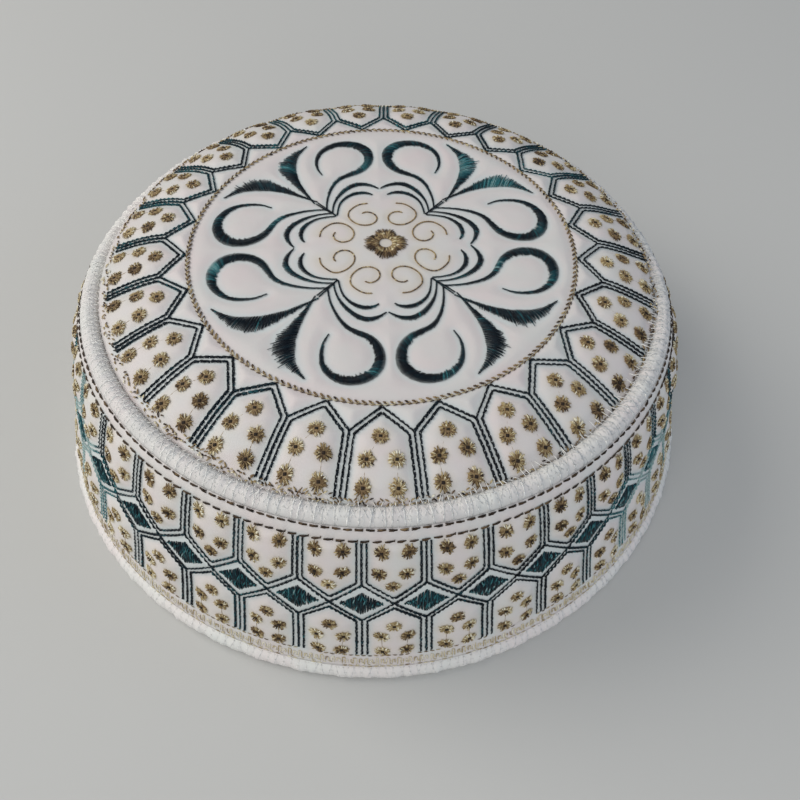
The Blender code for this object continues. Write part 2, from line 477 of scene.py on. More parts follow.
def crown_place(plan):
    """Where a point of the crown's pattern lies, seen from above: a little off the middle."""
    return plan + PATTERN_SHIFT + stretch(plan)


def crown_plan(place):
    """The point of the crown's pattern that lies at a place."""
    plan = place - PATTERN_SHIFT
    return plan - stretch(plan - stretch(plan))


def crown_point(plan):
    """Places of the crown's pattern laid on the crown."""
    place = crown_place(plan)
    return np.column_stack([place, crown_height(place, crown_relief(plan))])


def round_the_cap(rows, angle):
    """A table's value at an angle round the cap."""
    return curve_through(*zip(*rows), (np.degrees(angle) + 180.0) % 360.0 - 180.0)


def cell_drift(angle):
    """How far round the cells were sewn from their even places: most on the left."""
    return np.radians(round_the_cap(CELL_DRIFT, angle))


def out_of_round(angle, height):
    """How far the soft side stands out from a true circle: fully at its foot, not under the rim roll."""
    return round_the_cap(SOFT_SIDE, angle) * (1.0 - smooth_step(20.0, 52.0, height))


def band_point(flat):
    """Flat points wrapped round the band."""
    angle, height = flat[:, 0] / FLAT_RADIUS, flat[:, 1]
    angle = angle + cell_drift(angle)
    radius = band_form(height) + band_relief(flat) + out_of_round(angle, height)
    return in_space(angle, radius, height - droop(angle, band_sag(height)))


def roll_point(places):
    """Round the rim roll: angle times FLAT_RADIUS, and the turn over it from its outer edge, 0 to 180."""
    angle, turn = places[:, 0] / FLAT_RADIUS, np.radians(places[:, 1])
    lumps = waves(angle, 5, (41, 87, 133, 211, 287), (0.07, 0.07, 0.07, 0.06, 0.05))
    swell = 1.0 + 0.5 * lumps * np.sin(turn)
    radius = ROLL_MIDDLE + ROLL_HALF * np.cos(turn) * swell
    height = ROLL_SEAT + ROLL_RISE * np.sin(turn) * swell
    return in_space(angle, radius, height - droop(angle, 1.0))


def crown_wall(places):
    """Up the crown's drawn-in edge, seen at the back: angle times FLAT_RADIUS, and the share of the way."""
    angle, share = places[:, 0] / FLAT_RADIUS, places[:, 1]
    foot = ROLL_SEAT - droop(angle, 1.0)
    top = TOP_PLANE + CROWN_SLOPE[-1][1] - droop(angle, CROWN_SAG)
    return in_space(angle, CROWN_EDGE - 0.3 * share, foot + (top - foot) * share)


def hem_bulge(share):
    """How much of its bulge the hem has at a share of the way from its foot, 0, to its top, 1."""
    return np.sin(np.pi * np.clip(share, 0.0, 1.0)) ** 0.6


def hem_radius(share):
    """The hem's plain section."""
    return HEM_WALL + (HEM_OUT - HEM_WALL) * hem_bulge(share) + 0.5 * (1.0 - share)


def hem_lumps(angle):
    """The hem's small lumps round the cap."""
    return waves(angle, 9, (53, 101, 167, 241), (0.10, 0.09, 0.08, 0.07))


def hem_point(places):
    """Round the hem: angle times FLAT_RADIUS, and the share of the way up."""
    angle, share = places[:, 0] / FLAT_RADIUS, places[:, 1]
    height = HEM_HEIGHT * share
    radius = hem_radius(share) + hem_lumps(angle) * hem_bulge(share) + out_of_round(angle, height)
    return in_space(angle, radius, height)


def on_skin(point, places):
    """Points in space and the skin's outward normals."""
    here = point(places)
    step = 0.35
    across = point(places + np.array([step, 0.0])) - point(places - np.array([step, 0.0]))
    upward = point(places + np.array([0.0, step])) - point(places - np.array([0.0, step]))
    return here, unit(np.cross(across, upward))


# Threads: each kind of stitch is modelled once, then laid many times and joined


class Stitch:
    """One stitch along +X from 0 to 1, one unit thick: rings of (place, thickness), closed ends."""

    def __init__(self, sides, rings):
        place, thickness = rings[0]
        bpy.ops.object.select_all(action="DESELECT")
        bpy.ops.mesh.primitive_circle_add(
            vertices=sides, radius=0.5 * thickness, fill_type="NGON", rotation=(0.0, 0.5 * math.pi, 0.0)
        )
        model = bpy.context.object
        bpy.ops.object.transform_apply(location=False, rotation=True, scale=False)
        bpy.ops.object.mode_set(mode="EDIT")
        bpy.ops.mesh.select_all(action="SELECT")
        for (here, thick), (there, next_thick) in zip(rings, rings[1:]):
            bpy.ops.mesh.extrude_region_move(TRANSFORM_OT_translate={"value": (there - here, 0.0, 0.0)})
            grow = next_thick / thick
            bpy.ops.transform.resize(value=(1.0, grow, grow), center_override=(there, 0.0, 0.0))
        bpy.ops.mesh.select_all(action="SELECT")
        bpy.ops.mesh.normals_make_consistent(inside=False)
        bpy.ops.object.mode_set(mode="OBJECT")
        self.points = np.array([v.co for v in model.data.vertices], float)
        self.corners = np.array([i for face in model.data.polygons for i in face.vertices])
        self.totals = np.array([len(face.vertices) for face in model.data.polygons])
        bpy.data.objects.remove(model, do_unlink=True)


class Embroidery:
    """Stitches laid one after another and joined into one mesh."""

    def __init__(self):
        self.points = []
        self.corners = []
        self.totals = []
        self.shades = []
        self.filled = 0

    def lay(self, stitch, start, end, normal, width, shade, lift=0.0, rise=0.0, flat=1.0):
        """Lay stitches from start to end, in space. rise is how far the middle stands up."""
        count = len(start)
        width, shade, lift, rise = (
            np.broadcast_to(np.asarray(value, float), (count,)) for value in (width, shade, lift, rise)
        )
        run = end - start
        side = unit(np.cross(normal, run))
        over = unit(np.cross(run, side))
        x, y, z = stitch.points.T
        body = (start + over * lift[:, None])[:, None, :] + run[:, None, :] * x[None, :, None]
        body = body + side[:, None, :] * (y[None, :] * width[:, None])[..., None]
        tall = flat * z[None, :] * width[:, None] + rise[:, None] * 4.0 * (x * (1.0 - x))[None, :]
        body = body + over[:, None, :] * tall[..., None]
        self.points.append(body.reshape(-1, 3))
        offsets = self.filled + np.arange(count) * len(x)
        self.corners.append((stitch.corners[None, :] + offsets[:, None]).ravel())
        self.totals.append(np.tile(stitch.totals, count))
        self.shades.append(np.repeat(shade, len(x)))
        self.filled += count * len(x)

    def sew(self, stitch, skin, start, end, width, shade, lift=0.0, rise=0.0, flat=1.0):
        """Lay stitches between places of a skin's pattern."""
        a, up_a = on_skin(skin, start)
        b, up_b = on_skin(skin, end)
        self.lay(stitch, a, b, unit(up_a + up_b), width, shade, lift, rise, flat)

    def piece(self, name):
        """The joined mesh, with each stitch's shade kept as an attribute."""
        mesh = bpy.data.meshes.new(name)
        points = np.concatenate(self.points) * MM
        corners = np.concatenate(self.corners)
        totals = np.concatenate(self.totals)
        mesh.vertices.add(len(points))
        mesh.vertices.foreach_set("co", points.astype(np.float32).ravel())
        mesh.loops.add(len(corners))
        mesh.loops.foreach_set("vertex_index", corners.astype(np.int32))
        mesh.polygons.add(len(totals))
        starts = np.concatenate([[0], np.cumsum(totals)[:-1]])
        mesh.polygons.foreach_set("loop_start", starts.astype(np.int32))
        mesh.update(calc_edges=True)
        mesh.shade_smooth()
        shade = mesh.attributes.new("shade", "FLOAT", "POINT")
        shade.data.foreach_set("value", np.concatenate(self.shades).astype(np.float32))
        piece = bpy.data.objects.new(name, mesh)
        bpy.context.scene.collection.objects.link(piece)
        return piece


def finish_piece(piece, material, nodes=()):
    """Give a piece its material, its body and the solid that it stands for."""
    piece.data.materials.clear()
    piece.data.materials.append(material)
    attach(piece, "root")
    if nodes:
        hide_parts(*nodes)


def dense_rows(low, high, step):
    """Evenly spaced values from low to high, about step apart."""
    return np.linspace(low, high, max(2, int(round(abs(high - low) / step)) + 1))


# Cloth pieces


def turned_skin(name, rows, sides, ring):
    """A closed round skin through rows of (radius, height), drawn out ring by ring from a circle."""
    bpy.ops.object.select_all(action="DESELECT")
    radius, height = rows[0]
    bpy.ops.mesh.primitive_circle_add(vertices=sides, radius=radius * MM, location=(0.0, 0.0, height * MM))
    piece = bpy.context.object
    piece.name = name
    piece.data.name = name
    bpy.ops.object.transform_apply(location=True, rotation=False, scale=False)
    bpy.ops.object.mode_set(mode="EDIT")
    bpy.ops.mesh.select_all(action="SELECT")
    for (r0, h0), (r1, h1) in zip(rows, rows[1:]):
        move = {"value": (0.0, 0.0, (h1 - h0) * MM)}
        bpy.ops.mesh.extrude_region_move(TRANSFORM_OT_translate=move)
        bpy.ops.transform.resize(value=(r1 / r0, r1 / r0, 1.0), center_override=(0.0, 0.0, h1 * MM))
    bpy.ops.mesh.select_all(action="DESELECT")
    bpy.ops.mesh.select_non_manifold()
    if ring:
        bpy.ops.mesh.bridge_edge_loops()
    else:
        bpy.ops.mesh.edge_collapse()
    bpy.ops.mesh.select_all(action="SELECT")
    bpy.ops.mesh.normals_make_consistent(inside=False)
    bpy.ops.object.mode_set(mode="OBJECT")
    piece.data.shade_smooth()
    return piece


def places_of(piece):
    """A piece's points in millimetres, with their radius and angle."""
    flat = np.zeros(3 * len(piece.data.vertices), np.float32)
    piece.data.vertices.foreach_get("co", flat)
    points = flat.reshape(-1, 3).astype(float) / MM
    return points, *around(points)


def move_to(piece, points):
    """Put a piece's points, in millimetres, back in its mesh."""
    piece.data.vertices.foreach_set("co", (points * MM).astype(np.float32).ravel())
    piece.data.update()


def keep_tints(piece, dark_gap=np.inf, gold_gap=np.inf, halo=0.0):
    """Store how strongly each point is tinted teal near the dark threads and straw near the gold ones."""
    cool = np.maximum(fading(dark_gap, DARK_TINT), halo)
    warm = fading(np.maximum(gold_gap - GOLD_WIDTH, 0.0), GOLD_TINT)
    for name, share in (("cool", cool), ("warm", warm)):
        store = piece.data.attributes.new(name, "FLOAT", "POINT")
        values = np.broadcast_to(share, (len(piece.data.vertices),))
        store.data.foreach_set("value", values.astype(np.float32))


def crown_cloth():
    """The top panel: a quilted outer skin and a plain inner one, joined under the rim roll."""
    steps = [*dense_rows(0.6, 50.0, 1.15), *dense_rows(50.5, 75.0, 0.62)]
    outer = [(r, float(crown_form(r))) for r in steps]
    seam = ROLL_SEAT - 0.3
    tuck = [(75.3, seam + 0.2), (PANEL_EDGE, seam), (PANEL_EDGE, seam - WALL), (73.8, seam - WALL)]
    inner = [(r, float(crown_form(r)) - WALL) for r in (71.0, 66.0, 60.0, 45.0, 30.0, 15.0, 0.6)]
    piece = turned_skin("crown_cloth", outer + tuck + inner, ARCHES * 24, False)
    points, radius, angle = places_of(piece)
    outside = (np.abs(points[:, 2] - crown_form(radius)) < 0.8) & (radius < 75.15)
    plan = crown_plan(points[:, :2])
    sag = np.where((radius > 73.5) & ~outside, 1.0, crown_sag(radius))
    quilted = crown_height(points[:, :2], crown_relief(plan))
    points[:, 2] = np.where(outside, quilted, points[:, 2] - droop(angle, sag))
    move_to(piece, points)
    radius, _ = around(plan)
    in_arches, arch, rosette = radius > ROPE_RADIUS, to_arch(plan), to_rosette(plan)
    dark = np.where(in_arches, to_segments(arch, ARCH_SEGMENTS), to_segments(rosette, ROSETTE_SEGMENTS))
    inner_gold = np.minimum(to_segments(rosette, SPIRAL_SEGMENTS) + 1.2, radius - 2.0)
    keep_tints(piece, dark, np.where(in_arches, to_spots(arch, ARCH_EYELETS), inner_gold))
    return piece


def band_cloth():
    """The side wall: a quilted outer skin and a plain inner one."""
    heights = dense_rows(BAND_TOP, BAND_FOOT, 0.78)
    outer = [(float(band_form(h)), h) for h in heights]
    inner = [(float(band_form(h)) - WALL, h) for h in (BAND_FOOT, 15.0, 24.0, 34.0, 44.0, BAND_TOP)]
    piece = turned_skin("band_cloth", outer + inner, REPEATS * 20, True)
    points, radius, angle = places_of(piece)
    height = points[:, 2].copy()
    sewn = angle - cell_drift(angle - cell_drift(angle))
    flat = pairs(sewn * FLAT_RADIUS, height)
    outside = radius > band_form(height) - 0.5 * WALL
    stand = np.where(outside, band_relief(flat), 0.0) + out_of_round(angle, height)
    points[:, :2] *= ((radius + stand) / radius)[:, None]
    points[:, 2] -= droop(angle, band_sag(height))
    move_to(piece, points)
    folded = to_cell(flat)
    halo = 1.0 - smooth_step(1.3, 2.2, from_diamond(folded))
    keep_tints(piece, to_segments(folded, CELL_SEGMENTS), to_spots(folded, BAND_EYELETS), halo)
    return piece


def roll_cloth():
    """The padded rim roll, lumpy between its overcast threads."""
    turns = [math.radians(turn) for turn in dense_rows(0.0, 180.0, 14.0)]
    rows = [(ROLL_MIDDLE + ROLL_HALF * math.cos(t), ROLL_SEAT + ROLL_RISE * math.sin(t)) for t in turns]
    piece = turned_skin("roll_cloth", rows, SMOOTH_SIDES, True)
    points, radius, angle = places_of(piece)
    turn = np.arctan2((points[:, 2] - ROLL_SEAT) / ROLL_RISE, (radius - ROLL_MIDDLE) / ROLL_HALF)
    move_to(piece, roll_point(pairs(angle * FLAT_RADIUS, np.degrees(turn))))
    keep_tints(piece)
    return piece


def hem_cloth():
    """The bound hem, flat where the cap stands."""
    shares = dense_rows(1.0, 0.0, 0.09)
    outer = [(float(hem_radius(share)), max(HEM_HEIGHT * float(share), HEM_FOOT)) for share in shares]
    under = [(93.0, HEM_FOOT), (91.8, 0.4), (91.4, 1.4), (91.2, 3.4), (91.3, 5.8), (92.0, HEM_HEIGHT)]
    piece = turned_skin("hem_cloth", outer + under, SMOOTH_SIDES, True)
    points, radius, angle = places_of(piece)
    lumps = hem_lumps(angle) * hem_bulge(points[:, 2] / HEM_HEIGHT)
    stand = np.where(radius > 94.0, lumps, 0.0) + out_of_round(angle, points[:, 2])
    points[:, :2] *= ((radius + stand) / radius)[:, None]
    move_to(piece, points)
    keep_tints(piece)
    return piece


# Embroidery on the crown


def eight_times(*places):
    """Copies of a chart's places in all eighths of the rosette, in plan, and which eighth each is."""
    copies = [[] for _ in places]
    for quarter in range(4):
        for flip in (1.0, -1.0):
            for store, points in zip(copies, places):
                store.append(turned(points * np.array([1.0, flip]), ROSETTE_TURN + 90.0 * quarter))
    return [np.concatenate(store) for store in copies]


def gleam(plan):
    """Where the dark threads catch the light and turn teal."""
    here = turned(plan, -ROSETTE_TURN)
    light = np.zeros(len(here))
    for x, y, reach, strength in GLEAMS:
        light += strength * np.exp(-(((here - np.array([x, y])) ** 2).sum(1)) / reach ** 2)
    return light


def dark_shade(plan):
    """Shade of the rosette's dark threads: nearly black, with teal gleams."""
    radius, angle = around(plan)
    drift = waves(angle + 0.02 * radius, 11, (3, 7, 13), (0.05, 0.05, 0.04))
    return uneven(0.17 + drift + gleam(plan), 0.15, len(plan), 0.84)


def satin(work, stitch, rows, side, ragged, spacing):
    """Fill a chart with stitches across it. side is -0.5 when its rows run along the middle, 0 at an edge."""
    columns, heading = along(rows, spacing)
    place, width = columns[:, :2], columns[:, 2:3]
    left, lean = leftward(heading), heading * 0.22
    start = place + left * width * side - lean * width
    end = place + left * width * (side + 1.0) + lean * width
    start, end = eight_times(start, end)
    run = end - start
    length = np.linalg.norm(run, axis=1)
    short = chance.random(len(run)) * 0.3 * ragged
    long = chance.normal(0.0, 0.5, len(run)) * ragged * np.clip(length / 3.0, 0.15, 1.0)
    start = start - unit(run) * short[:, None] * np.minimum(length, 1.0)[:, None]
    end = end + unit(run) * long[:, None]
    shade = dark_shade(0.5 * (start + end))
    thickness = np.clip(0.32 + 0.015 * length, 0.32, 0.38)
    lift = 0.16 + 0.07 * chance.random(len(run))
    rise = 0.10 + 0.06 * np.minimum(length, 4.0)
    work.sew(stitch, crown_point, start, end, thickness, shade, lift, rise)


def running(work, stitch, skin, path, length, width, shade, sway=0.19, gap=0.04, lift=0.14, rise=0.20):
    """Twisted running stitches along straight runs: path is a list of (starts, ends) arrays."""
    for starts, ends in path:
        span = float(np.median(np.linalg.norm(ends - starts, axis=1)))
        count = max(1, int(round(span / length)))
        along_run = unit(ends - starts)
        across = leftward(along_run)
        weight = chance.uniform(0.85, 1.30, len(starts))
        for index in range(count):
            bead = weight * chance.uniform(0.85, 1.15, len(starts))
            for twist in (1.0, -1.0):
                low = (index + 0.5 * gap) / count + 0.04 * twist / count
                high = (index + 1.0 - 0.5 * gap) / count + 0.04 * twist / count
                a = starts + (ends - starts) * low + across * (sway * twist * weight)[:, None]
                b = starts + (ends - starts) * high - across * (sway * twist * weight)[:, None]
                a = a + chance.normal(0.0, 0.05, a.shape)
                b = b + chance.normal(0.0, 0.05, b.shape)
                work.sew(stitch, skin, a, b, width * bead, shade(0.5 * (a + b)), lift + 0.05 * twist, rise)


def every_arch(spot):
    """One arch's spot in all arches of the ring, in plan."""
    return np.concatenate([turned(np.array([spot]), FIRST_ARCH_TIP + ARCH_STEP * k) for k in range(ARCHES)])


def all_arches(point):
    """A place of half an arch, on both sides of all arches, in plan."""
    return [every_arch((point[0], point[1] * flip)) for flip in (1.0, -1.0)]


def arch_shade(plan):
    """Shade of the arches' threads, with painted sheen: paler and more teal at the back and the left."""
    x, y = plan.T / ARCH_FOOT
    drift = waves(np.arctan2(y, x), 17, (5, 9, 16), (0.07, 0.07, 0.05))
    # back is painted sheen: threads at the back and left, where the light glances off them, are made paler
    # and more teal.
    back = 0.30 * smooth_step(-0.1, 0.9, y) + 0.18 * smooth_step(0.3, 1.0, -x)
    return uneven(0.13 + drift + back, 0.10, len(plan))


def arch_threads(stitch):
    """The pointed arches: double lines whose shared sides run on as three."""
    work = Embroidery()
    path = []
    for name in ("outer", "inner", "side"):
        begin, finish = ARCH[name]
        path += zip(all_arches(begin), all_arches(finish))
    path.append([every_arch(point) for point in ARCH["middle"]])
    running(work, stitch, crown_point, path, length=1.35, width=0.53, shade=arch_shade)
    return work.piece("arch_threads")


def rosette_threads(stitch):
    """The rosette's contours, hooks and leaves in satin stitch."""
    work = Embroidery()
    for rows, side, ragged, spacing in (
        (INNER_CONTOUR, -0.5, 0.35, 0.30), (OUTER_CONTOUR, -0.5, 0.35, 0.30), (HOOK, -0.5, 0.45, 0.30),
        (STEM, -0.5, 0.10, 0.30), (LEAF, 0.0, 1.1, 0.62), (LEAF, 0.0, 0.5, 0.34),
    ):
        satin(work, stitch, rows, side, ragged, spacing)
    return work.piece("rosette_threads")


def spiral_threads(stitch):
    """Eight thin scrolls round the middle flower."""
    work = Embroidery()
    columns, heading = along(SPIRAL, 0.62)
    start = columns[:, :2] - heading * 0.42
    end = columns[:, :2] + heading * 0.42
    start, end = (points + SCROLL_SHIFT for points in eight_times(start, end))
    shade = 0.40 + chance.normal(0.0, 0.12, len(start))
    work.sew(stitch, crown_point, start, end, width=0.50, shade=shade, lift=0.13, rise=0.08)
    return work.piece("scroll_threads")


def flower_threads(stitch):
    """The four-petalled flower in radial satin stitch, open in its middle."""
    work = Embroidery()
    for rays, inner, share, tone in ((120, 2.6, 1.0, 0.26), (110, 1.7, 0.62, 0.40), (60, 2.2, 0.88, 0.56)):
        angle = math.tau * (np.arange(rays) + 0.5 * chance.random(rays)) / rays
        petal = 3.9 + 1.75 * np.abs(np.cos(2.0 * (angle - math.radians(ROSETTE_TURN)))) ** 0.9
        outer = petal * share + chance.normal(0.0, 0.25, rays)
        lean = 0.10 * np.sin(4.0 * angle)
        start = in_plan(angle, inner) + FLOWER_SHIFT
        end = in_plan(angle + lean, outer) + FLOWER_SHIFT
        light = 0.16 * np.cos(angle - math.radians(20.0))
        shade = uneven(tone + light, 0.17, rays)
        work.sew(stitch, crown_point, start, end, width=0.36, shade=shade, lift=0.20, rise=0.30)
    return work.piece("flower_threads")


def ring_places(radius, pitch):
    """Angles of evenly spaced stitches round a ring, in radians."""
    count = int(round(math.tau * radius / pitch))
    return math.tau * np.arange(count) / count, math.tau / count


def ring_stitch(angle, step, radius_start, radius_end, share):
    """Start and end places of stitches that run along a ring."""
    half = 0.5 * share * step
    return in_plan(angle - half, radius_start), in_plan(angle + half, radius_end)


def rope_threads(stitch):
    """The twisted ring round the rosette."""
    work = Embroidery()
    angle, step = ring_places(ROPE_RADIUS, 1.7)
    wobble = chance.normal(0.0, 0.07, len(angle))
    for shift, width, low, high, tone in ((0.0, 0.62, -0.35, 0.30, 0.30), (0.30, 0.36, -0.1, 0.45, 0.48)):
        inner, outer = ROPE_RADIUS + low + wobble, ROPE_RADIUS + high
        start, end = ring_stitch(angle + shift * step, step, inner, outer, 0.52)
        shade = tone + chance.normal(0.0, 0.16, len(angle))
        work.sew(stitch, crown_point, start, end, width, shade, lift=0.22, rise=0.16)
    # A dark thread and a pale one run along under the rope's outer edge
    for shift, low, high, share, width, tone, spread, rise in (
        (0.5, 0.95, 0.55, 0.7, 0.36, 0.20, 0.08, 0.06), (0.0, 0.62, 0.55, 1.0, 0.28, 0.66, 0.10, 0.03)
    ):
        start, end = ring_stitch(angle + shift * step, step, ROPE_RADIUS + low, ROPE_RADIUS + high, share)
        shade = tone + chance.normal(0.0, spread, len(angle))
        work.sew(stitch, crown_point, start, end, width, shade, lift=0.14, rise=rise)
    return work.piece("rope_threads")


def eyelet(work, ray, dot, skin, centres, size, rays_below, rays_above, tint):
    """Ragged raised eyelets: a low dome, long pale rays, shorter browner ones over them, and a dark dot in
    the middle that is painted shade for the hole.
    """
    tint = tint + chance.normal(0.0, 0.07, len(centres))
    half = np.array([0.86 * size, 0.0])
    work.sew(DOME, skin, centres - half, centres + half, 1.72 * size, 0.41 + tint, lift=0.05, flat=0.20)
    for rays, inner, share, width, rise, tone in (
        (rays_below, 0.50, 1.0, 0.40, 0.28, 0.57), (rays_above, 0.48, 0.70, 0.40, 0.38, 0.42)
    ):
        for index in range(rays):
            angle = math.tau * (index + chance.uniform(-0.3, 0.3, len(centres))) / rays
            reach = size * share * chance.uniform(0.92, 1.12, len(centres))
            lean = chance.normal(0.14, 0.14, len(centres))
            start = centres + in_plan(angle, inner)
            end = centres + in_plan(angle + lean, reach)
            # The sine term is painted light: rays pointing one way are paler, those pointing the other way
            # darker.
            shade = tone + tint + 0.10 * np.sin(angle + 0.6) + chance.normal(0.0, 0.18, len(centres))
            work.sew(ray, skin, start, end, width, np.clip(shade, 0.04, 1.0), lift=0.20, rise=rise)
    # The dark dot is painted shade: it stands for the darkness down in the eyelet's hole.
    hole = np.array([0.41, 0.0])
    work.sew(dot, skin, centres - hole, centres + hole, width=1.0, shade=0.0, lift=0.52, flat=0.3)


def crown_eyelets(ray, dot, stitch):
    """Five eyelets in each arch, with the thin threads that pass from one to the next."""
    work = Embroidery()
    spots = []
    for spot in ARCH_EYELETS:
        spots.append(every_arch(spot) + chance.normal(0.0, 0.16, (ARCHES, 2)))
        eyelet(work, ray, dot, crown_point, spots[-1], size=2.05, rays_below=24, rays_above=16, tint=0.0)
    for a, b in ((0, 2), (1, 3), (2, 4)):
        work.sew(stitch, crown_point, spots[a], spots[b], width=0.17, shade=0.42, lift=0.10, rise=0.30)
    return work.piece("crown_eyelets")


def border_threads(stitch):
    """The uneven gold chain between the arches' feet and the rim roll."""
    work = Embroidery()
    for row, (radius, pitch, tone) in enumerate(((73.5, 1.15, 0.46), (74.1, 0.80, 0.32), (74.6, 0.95, 0.56))):
        angle, step = ring_places(radius, pitch)
        wander = 0.16 * waves(angle, 30 + row, (61, 113, 190), (1.0, 1.0, 1.0))
        start_radius = radius + wander + chance.normal(0.0, 0.22, len(angle))
        end_radius = radius + wander + chance.normal(0.0, 0.40, len(angle))
        start, end = ring_stitch(angle, step, start_radius, end_radius, 0.80)
        shade = uneven(tone, 0.24, len(angle))
        sparse = 0.14 + 0.28 * smooth_step(0.1, 0.9, aside(angle))
        keep = chance.random(len(angle)) > sparse
        start, end, shade = start[keep], end[keep], shade[keep]
        work.sew(stitch, crown_point, start, end, width=0.44, shade=shade, lift=0.18, rise=0.14)
    return work.piece("border_threads")


# Embroidery on the band


def cell_middles(on=0.0):
    """How far round the flat band the cells' middles lie, or places that many cells further on."""
    return math.radians(FIRST_CELL) * FLAT_RADIUS + CELL * (np.arange(REPEATS) + on)


def all_cells(point):
    """A place of half a cell, on both sides of all cells, on the flat band."""
    return [pairs(cell_middles() + flip * point[0], point[1]) for flip in (1.0, -1.0)]


def band_shade(flat):
    """Shade of the band's dark threads, with painted sheen: paler on the left and, low down, on the right."""
    angle = flat[:, 0] / FLAT_RADIUS
    low = 1.0 - smooth_step(33.0, 42.0, flat[:, 1])
    # pale is painted sheen: threads near the left and right edges of the front half, seen at a grazing angle,
    # are paler, most on the left.
    most = np.where(np.cos(angle) < 0.0, 0.75, 0.25)
    pale = most * smooth_step(0.76, 0.87, aside(angle))
    pale = pale + low * (0.05 + 0.72 * smooth_step(0.62, 0.82, aside(angle)))
    pale = pale * smooth_step(0.20, 0.42, -np.sin(angle))
    drift = waves(angle, 23, (5, 11, 19), (0.06, 0.06, 0.05))
    return uneven(0.18 + drift + pale, 0.14, len(flat))


def cell_threads(stitch):
    """The two rows of pointed cells: double lines that cross between the diamonds."""
    work = Embroidery()
    path = []
    for name, (begin, finish) in CELL_LINES.items():
        starts, ends = all_cells(begin), all_cells(finish)
        if name.endswith("middle"):
            path.append((starts[0], ends[0]))
        else:
            path += zip(starts, ends)
    width = 0.46 - 0.16 * smooth_step(0.55, 0.85, aside(cell_middles() / FLAT_RADIUS))
    running(work, stitch, band_point, path, length=1.4, width=width, shade=band_shade)
    return work.piece("cell_threads")


def diamond_threads(stitch):
    """The diamonds between the cells: a dense dark fill under short pale slanting stitches."""
    work = Embroidery()
    wide, high = DIAMOND
    middles = cell_middles(0.5)
    side_light = 0.18 + 0.20 * smooth_step(0.70, 0.90, aside(middles / FLAT_RADIUS))
    for pitch, slant, share, width, tone, lift in (
        (0.24, 0.25, 1.0, 0.56, 0.14, 0.10), (0.50, -2.6, 0.36, 0.36, 0.38, 0.30),
        (0.62, 2.4, 0.32, 0.34, 0.54, 0.36),
    ):
        for x in dense_rows(-wide + 0.15, wide - 0.15, pitch):
            reach = high * (1.0 - abs(x) / wide)
            jitter = chance.normal(0.0, 0.12, (REPEATS, 3))
            middle = CROSSING + (1.0 - share) * reach * chance.uniform(-1.0, 1.0, REPEATS)
            lean = 0.5 * slant * share * (1.0 - abs(x) / wide)
            low = pairs(middles + x - lean + jitter[:, 0], middle - share * reach + 0.7 * jitter[:, 1])
            top = pairs(middles + x + lean + jitter[:, 0], middle + share * reach + jitter[:, 2])
            shade = uneven(side_light + tone, 0.14, REPEATS, 0.9)
            work.sew(stitch, band_point, low, top, width, shade, lift, 0.12)
    return work.piece("diamond_threads")


def band_eyelets(ray, dot, stitch):
    """Five eyelets in each cell, with the threads between them."""
    work = Embroidery()
    side_light = 0.10 * smooth_step(0.6, 1.0, aside(cell_middles() / FLAT_RADIUS))
    spots = []
    for across, height in BAND_EYELETS:
        spots.append(pairs(cell_middles() + across, height) + chance.normal(0.0, 0.15, (REPEATS, 2)))
        pale = side_light + 0.08 * (height < CROSSING)
        eyelet(work, ray, dot, band_point, spots[-1], size=1.90, rays_below=18, rays_above=11, tint=pale)
    for a, b in ((0, 2), (1, 3), (5, 7), (6, 8), (7, 9)):
        work.sew(stitch, band_point, spots[a], spots[b], width=0.17, shade=0.42, lift=0.10, rise=0.20)
    return work.piece("band_eyelets")


def dashed_lines(stitch):
    """Two dashed seams under the rim roll."""
    work = Embroidery()
    for height, pitch, share, width, slope, tone in (
        (UPPER_LINE - 0.35, 2.72, 0.78, 0.50, 0.0, 0.10), (LOWER_LINE, 2.92, 0.74, 0.46, 0.22, 0.12)
    ):
        angle, step = ring_places(FLAT_RADIUS, pitch)
        for strand in (-1.0, 1.0):
            jitter = chance.normal(0.0, 0.10, (len(angle), 2))
            a = (angle - 0.5 * share * step) * FLAT_RADIUS
            b = (angle + 0.5 * share * step) * FLAT_RADIUS
            low = height - 0.5 * slope + 0.09 * strand + jitter[:, 0]
            top = height + 0.5 * slope - 0.09 * strand + jitter[:, 1]
            shade = uneven(tone, 0.10, len(angle))
            work.sew(stitch, band_point, pairs(a, low), pairs(b, top), width, shade, lift=0.18, rise=0.12)
        if slope:
            hooked = chance.random(len(angle)) > 0.45
            foot = pairs(b, top - 0.1)[hooked]
            tip = foot + np.array([0.18, 0.75])
            work.sew(stitch, band_point, foot, tip, width=0.40, shade=0.10, lift=0.20, rise=0.10)
    return work.piece("seam_dashes")


